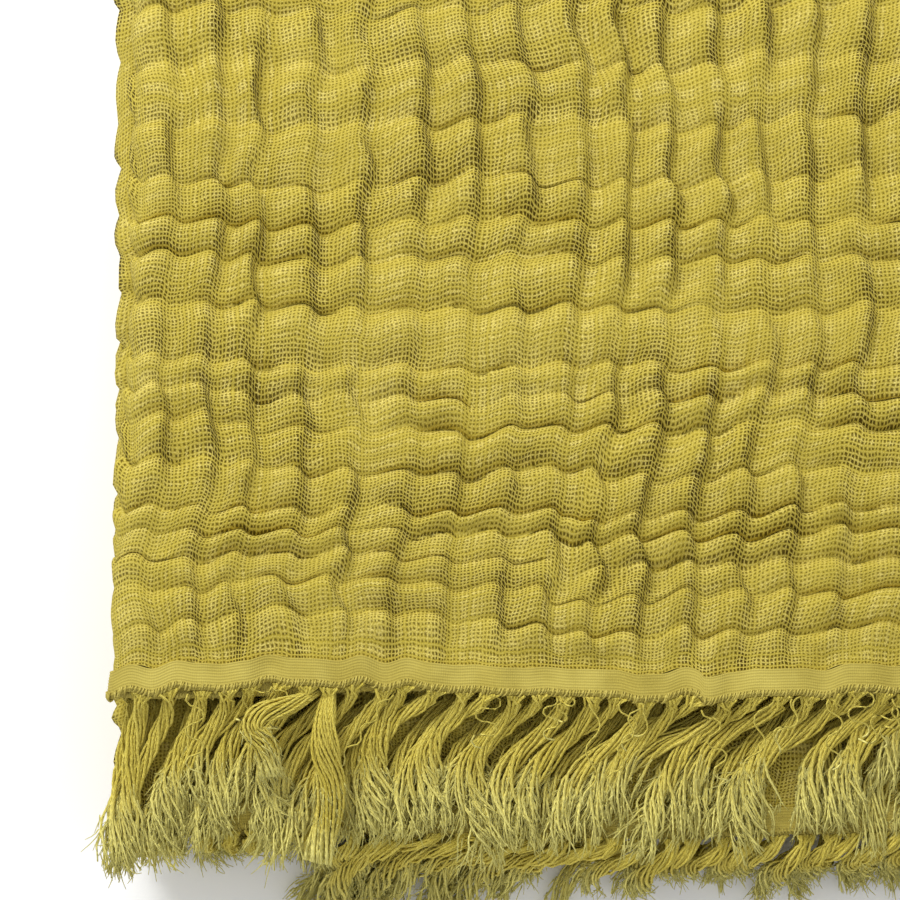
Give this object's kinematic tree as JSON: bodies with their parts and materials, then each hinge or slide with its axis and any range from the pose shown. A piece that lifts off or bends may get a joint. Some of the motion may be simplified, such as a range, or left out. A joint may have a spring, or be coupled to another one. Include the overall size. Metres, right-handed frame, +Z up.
{
  "type": "folded throw blanket",
  "caption": "Rectangular throw of crinkled cotton gauze, folded into a flat stack, with a woven hem band and a loose fringe along its two ends.",
  "frame": {"origin": "on the supporting surface, under the middle of the folded throw with its fringe", "axes": "+X across the folded throw, away from its folded edge; +Y along it, from the fringed front to the back fold; +Z up"},
  "size_m": [0.3516, 0.4788, 0.0509],
  "materials": {
    "gauze": "open plain weave of soft cotton, crinkled all over",
    "hem_band": "dense ribbed weave, flat",
    "overcast_thread": "twisted overcast thread",
    "fringe_yarn": "loose soft cotton yarn, fuzzy at the tips"
  },
  "bodies": {
    "lower_half": {"bottom_panel": "gauze", "front_fold": "gauze", "lower_inner_panel": "gauze", "back_inner_fold": "gauze", "back_outer_fold": "gauze"},
    "upper_half": {"upper_inner_panel": "gauze", "top_panel": "gauze", "lower_hem_band": "hem_band", "top_hem_band": "hem_band", "lower_overcast_edge": "overcast_thread", "top_overcast_edge": "overcast_thread"},
    "top_fringe": {"top_fringe_01": "fringe_yarn", "top_fringe_02": "fringe_yarn", "top_fringe_03": "fringe_yarn", "top_fringe_04": "fringe_yarn", "top_fringe_05": "fringe_yarn", "top_fringe_06": "fringe_yarn", "top_fringe_07": "fringe_yarn", "top_fringe_08": "fringe_yarn", "top_fringe_09": "fringe_yarn", "top_fringe_10": "fringe_yarn", "top_fringe_11": "fringe_yarn", "top_fringe_12": "fringe_yarn", "top_fringe_13": "fringe_yarn", "top_fringe_14": "fringe_yarn", "top_fringe_15": "fringe_yarn", "top_fringe_16": "fringe_yarn", "top_fringe_17": "fringe_yarn", "top_fringe_18": "fringe_yarn", "top_fringe_19": "fringe_yarn", "top_fringe_20": "fringe_yarn"},
    "lower_fringe": {"lower_fringe_01": "fringe_yarn", "lower_fringe_02": "fringe_yarn", "lower_fringe_03": "fringe_yarn", "lower_fringe_04": "fringe_yarn", "lower_fringe_05": "fringe_yarn", "lower_fringe_06": "fringe_yarn", "lower_fringe_07": "fringe_yarn", "lower_fringe_08": "fringe_yarn", "lower_fringe_09": "fringe_yarn", "lower_fringe_10": "fringe_yarn", "lower_fringe_11": "fringe_yarn", "lower_fringe_12": "fringe_yarn", "lower_fringe_13": "fringe_yarn", "lower_fringe_14": "fringe_yarn", "lower_fringe_15": "fringe_yarn", "lower_fringe_16": "fringe_yarn", "lower_fringe_17": "fringe_yarn", "lower_fringe_18": "fringe_yarn", "lower_fringe_19": "fringe_yarn", "lower_fringe_20": "fringe_yarn"}
  },
  "joints": [
    {"name": "unfold", "type": "hinge", "parent": "lower_half", "child": "upper_half", "pos_m": [0, 0.22655, 0.02545], "axis": [-1, 0, 0], "range_deg": [0, 179.9], "deforming": ["back_outer_fold", "back_inner_fold"]},
    {"name": "top_fringe_swing", "type": "hinge", "parent": "upper_half", "child": "top_fringe", "pos_m": [0, -0.16586, 0.04915], "axis": [-1, 0, 0], "range_deg": [0, 7.2]},
    {"name": "lower_fringe_swing", "type": "hinge", "parent": "upper_half", "child": "lower_fringe", "pos_m": [0, -0.20607, 0.03585], "axis": [-1, 0, 0], "range_deg": [0, 45]}
  ],
  "couplings": [
    {"joint": "top_fringe_swing", "follows": "unfold", "ratio": 0.04},
    {"joint": "lower_fringe_swing", "follows": "unfold", "ratio": 0.25}
  ]
}
